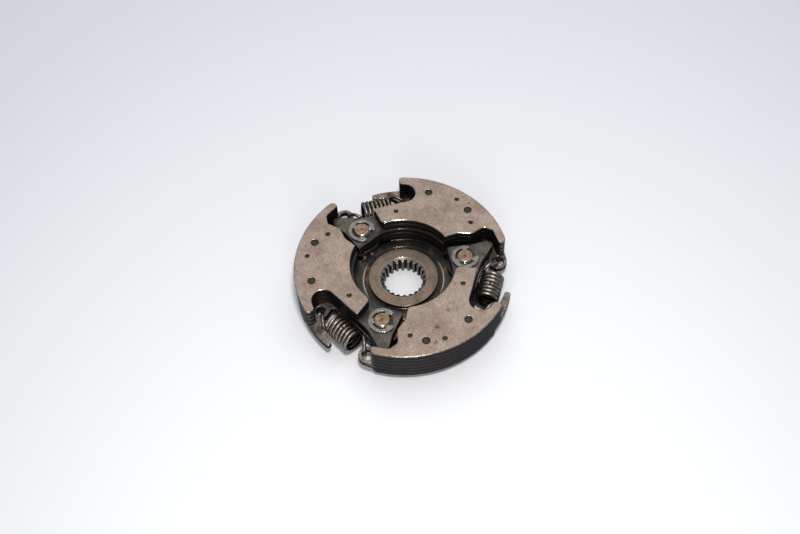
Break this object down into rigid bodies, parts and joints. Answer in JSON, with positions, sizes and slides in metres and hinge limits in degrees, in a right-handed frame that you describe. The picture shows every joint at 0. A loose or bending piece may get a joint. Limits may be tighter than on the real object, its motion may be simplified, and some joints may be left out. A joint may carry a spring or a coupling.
{
  "type": "centrifugal clutch",
  "caption": "Centrifugal clutch with laminated shoes that pivot on pins in a splined hub and are held in by extension springs.",
  "frame": {"origin": "on the shaft axis, in the hub's back face", "axes": "+Z along the shaft towards the side with the retaining clips; +X towards the free end of the first shoe"},
  "size_m": [0.1115, 0.1127, 0.0229],
  "materials": {
    "hub_steel": "turned steel, oily",
    "pin_steel": "ground steel, worn ends",
    "clip_steel": "phosphated spring steel",
    "plate_steel": "stamped steel, faces ground, edges dark",
    "bush_bronze": "dark, oily",
    "rivet_steel": "dark steel",
    "spring_wire": "drawn wire, dark with bright highlights"
  },
  "bodies": {
    "hub": {"hub": "hub_steel", "pivot_pin_1": "pin_steel", "pivot_pin_2": "pin_steel", "pivot_pin_3": "pin_steel", "pivot_clip_1": "clip_steel", "pivot_clip_2": "clip_steel", "pivot_clip_3": "clip_steel"},
    "shoe_1": {"shoe_1_plate_1": "plate_steel", "shoe_1_plate_2": "plate_steel", "shoe_1_plate_3": "plate_steel", "shoe_1_plate_4": "plate_steel", "shoe_1_plate_5": "plate_steel", "shoe_1_plate_6": "plate_steel", "shoe_1_bush": "bush_bronze", "shoe_1_rivet_1": "rivet_steel", "shoe_1_rivet_2": "rivet_steel", "spring_1": "spring_wire"},
    "shoe_2": {"shoe_2_plate_1": "plate_steel", "shoe_2_plate_2": "plate_steel", "shoe_2_plate_3": "plate_steel", "shoe_2_plate_4": "plate_steel", "shoe_2_plate_5": "plate_steel", "shoe_2_plate_6": "plate_steel", "shoe_2_bush": "bush_bronze", "shoe_2_rivet_1": "rivet_steel", "shoe_2_rivet_2": "rivet_steel", "spring_2": "spring_wire"},
    "shoe_3": {"shoe_3_plate_1": "plate_steel", "shoe_3_plate_2": "plate_steel", "shoe_3_plate_3": "plate_steel", "shoe_3_plate_4": "plate_steel", "shoe_3_plate_5": "plate_steel", "shoe_3_plate_6": "plate_steel", "shoe_3_bush": "bush_bronze", "shoe_3_rivet_1": "rivet_steel", "shoe_3_rivet_2": "rivet_steel", "spring_3": "spring_wire"}
  },
  "joints": [
    {"name": "shoe_1_pivot", "type": "hinge", "parent": "hub", "child": "shoe_1", "pos_m": [-0.02093, 0.02584, 0.0092], "axis": [0, 0, 1], "range_deg": [0, 3.5], "stiffness_Nm_per_rad": 80, "springref_deg": -2.06, "deforming": ["spring_1", "spring_3"]},
    {"name": "shoe_2_pivot", "type": "hinge", "parent": "hub", "child": "shoe_2", "pos_m": [-0.01192, -0.03105, 0.0092], "axis": [0, 0, 1], "range_deg": [0, 3.5], "stiffness_Nm_per_rad": 80, "springref_deg": -2.06, "deforming": ["spring_2", "spring_1"]},
    {"name": "shoe_3_pivot", "type": "hinge", "parent": "hub", "child": "shoe_3", "pos_m": [0.03285, 0.0052, 0.0092], "axis": [0, 0, 1], "range_deg": [0, 3.5], "stiffness_Nm_per_rad": 80, "springref_deg": -2.06, "deforming": ["spring_3", "spring_2"]}
  ]
}
